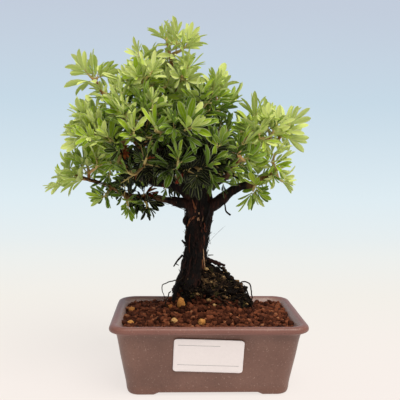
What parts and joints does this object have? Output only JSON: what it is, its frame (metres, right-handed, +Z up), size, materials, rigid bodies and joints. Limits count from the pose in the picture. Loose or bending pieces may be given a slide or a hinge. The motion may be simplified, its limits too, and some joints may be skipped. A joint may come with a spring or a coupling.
{
  "type": "shrubby cinquefoil bonsai",
  "caption": "Shrubby cinquefoil bonsai in informal upright style, with exposed roots on a dark mound, in a rectangular brown stoneware pot with a plain sticker.",
  "frame": {"origin": "bottom centre of the whole plant's box, in the plane that the pot's feet stand on", "axes": "+Z up, +Y away from the front of the tree, +X to the right as seen from the front"},
  "size_m": [0.192, 0.1476, 0.2737],
  "materials": {
    "stoneware": "unglazed brown stoneware with a reddish lip",
    "net_plastic": "black plastic net",
    "bonsai_clay": "red-brown granular clay, rough",
    "pumice": "ochre pumice, rough",
    "root_mat": "dark matted roots and old soil",
    "bark": "dark shredding bark with red-brown strips",
    "sticker_paper": "plain white paper sticker",
    "foliage": "fresh green leaves, silky and half matt, on tan twigs"
  },
  "bodies": {
    "root": {"pot": "stoneware", "drain_mesh_left": "net_plastic", "drain_mesh_right": "net_plastic", "soil": "bonsai_clay", "pumice_1": "pumice", "pumice_2": "pumice", "pumice_3": "pumice", "pumice_4": "pumice", "pumice_5": "pumice", "pumice_6": "pumice", "root_ball": "root_mat", "trunk": "bark", "plant_label": "sticker_paper", "shoot_top_1": "foliage", "shoot_top_2": "foliage", "shoot_top_3": "foliage", "shoot_top_4": "foliage", "shoot_top_5": "foliage", "shoot_top_6": "foliage", "shoot_left_1": "foliage", "shoot_left_2": "foliage", "shoot_left_3": "foliage", "shoot_left_4": "foliage", "shoot_left_5": "foliage", "shoot_left_6": "foliage", "shoot_left_7": "foliage", "shoot_low_1": "foliage", "shoot_low_2": "foliage", "shoot_low_3": "foliage", "shoot_low_4": "foliage", "shoot_front_1": "foliage", "shoot_front_2": "foliage", "shoot_front_3": "foliage", "shoot_front_4": "foliage", "shoot_front_5": "foliage", "shoot_front_6": "foliage", "shoot_front_7": "foliage", "shoot_front_8": "foliage", "shoot_front_9": "foliage", "shoot_front_10": "foliage", "shoot_right_1": "foliage", "shoot_right_2": "foliage", "shoot_right_3": "foliage", "shoot_right_4": "foliage", "shoot_right_5": "foliage", "shoot_right_6": "foliage", "shoot_right_7": "foliage", "shoot_inner_1": "foliage", "shoot_inner_2": "foliage", "shoot_back_1": "foliage", "shoot_back_2": "foliage", "shoot_back_3": "foliage", "shoot_back_4": "foliage", "shoot_back_5": "foliage", "shoot_back_6": "foliage", "shoot_back_7": "foliage", "shoot_back_8": "foliage", "shoot_back_9": "foliage", "shoot_back_10": "foliage"}
  },
  "joints": []
}
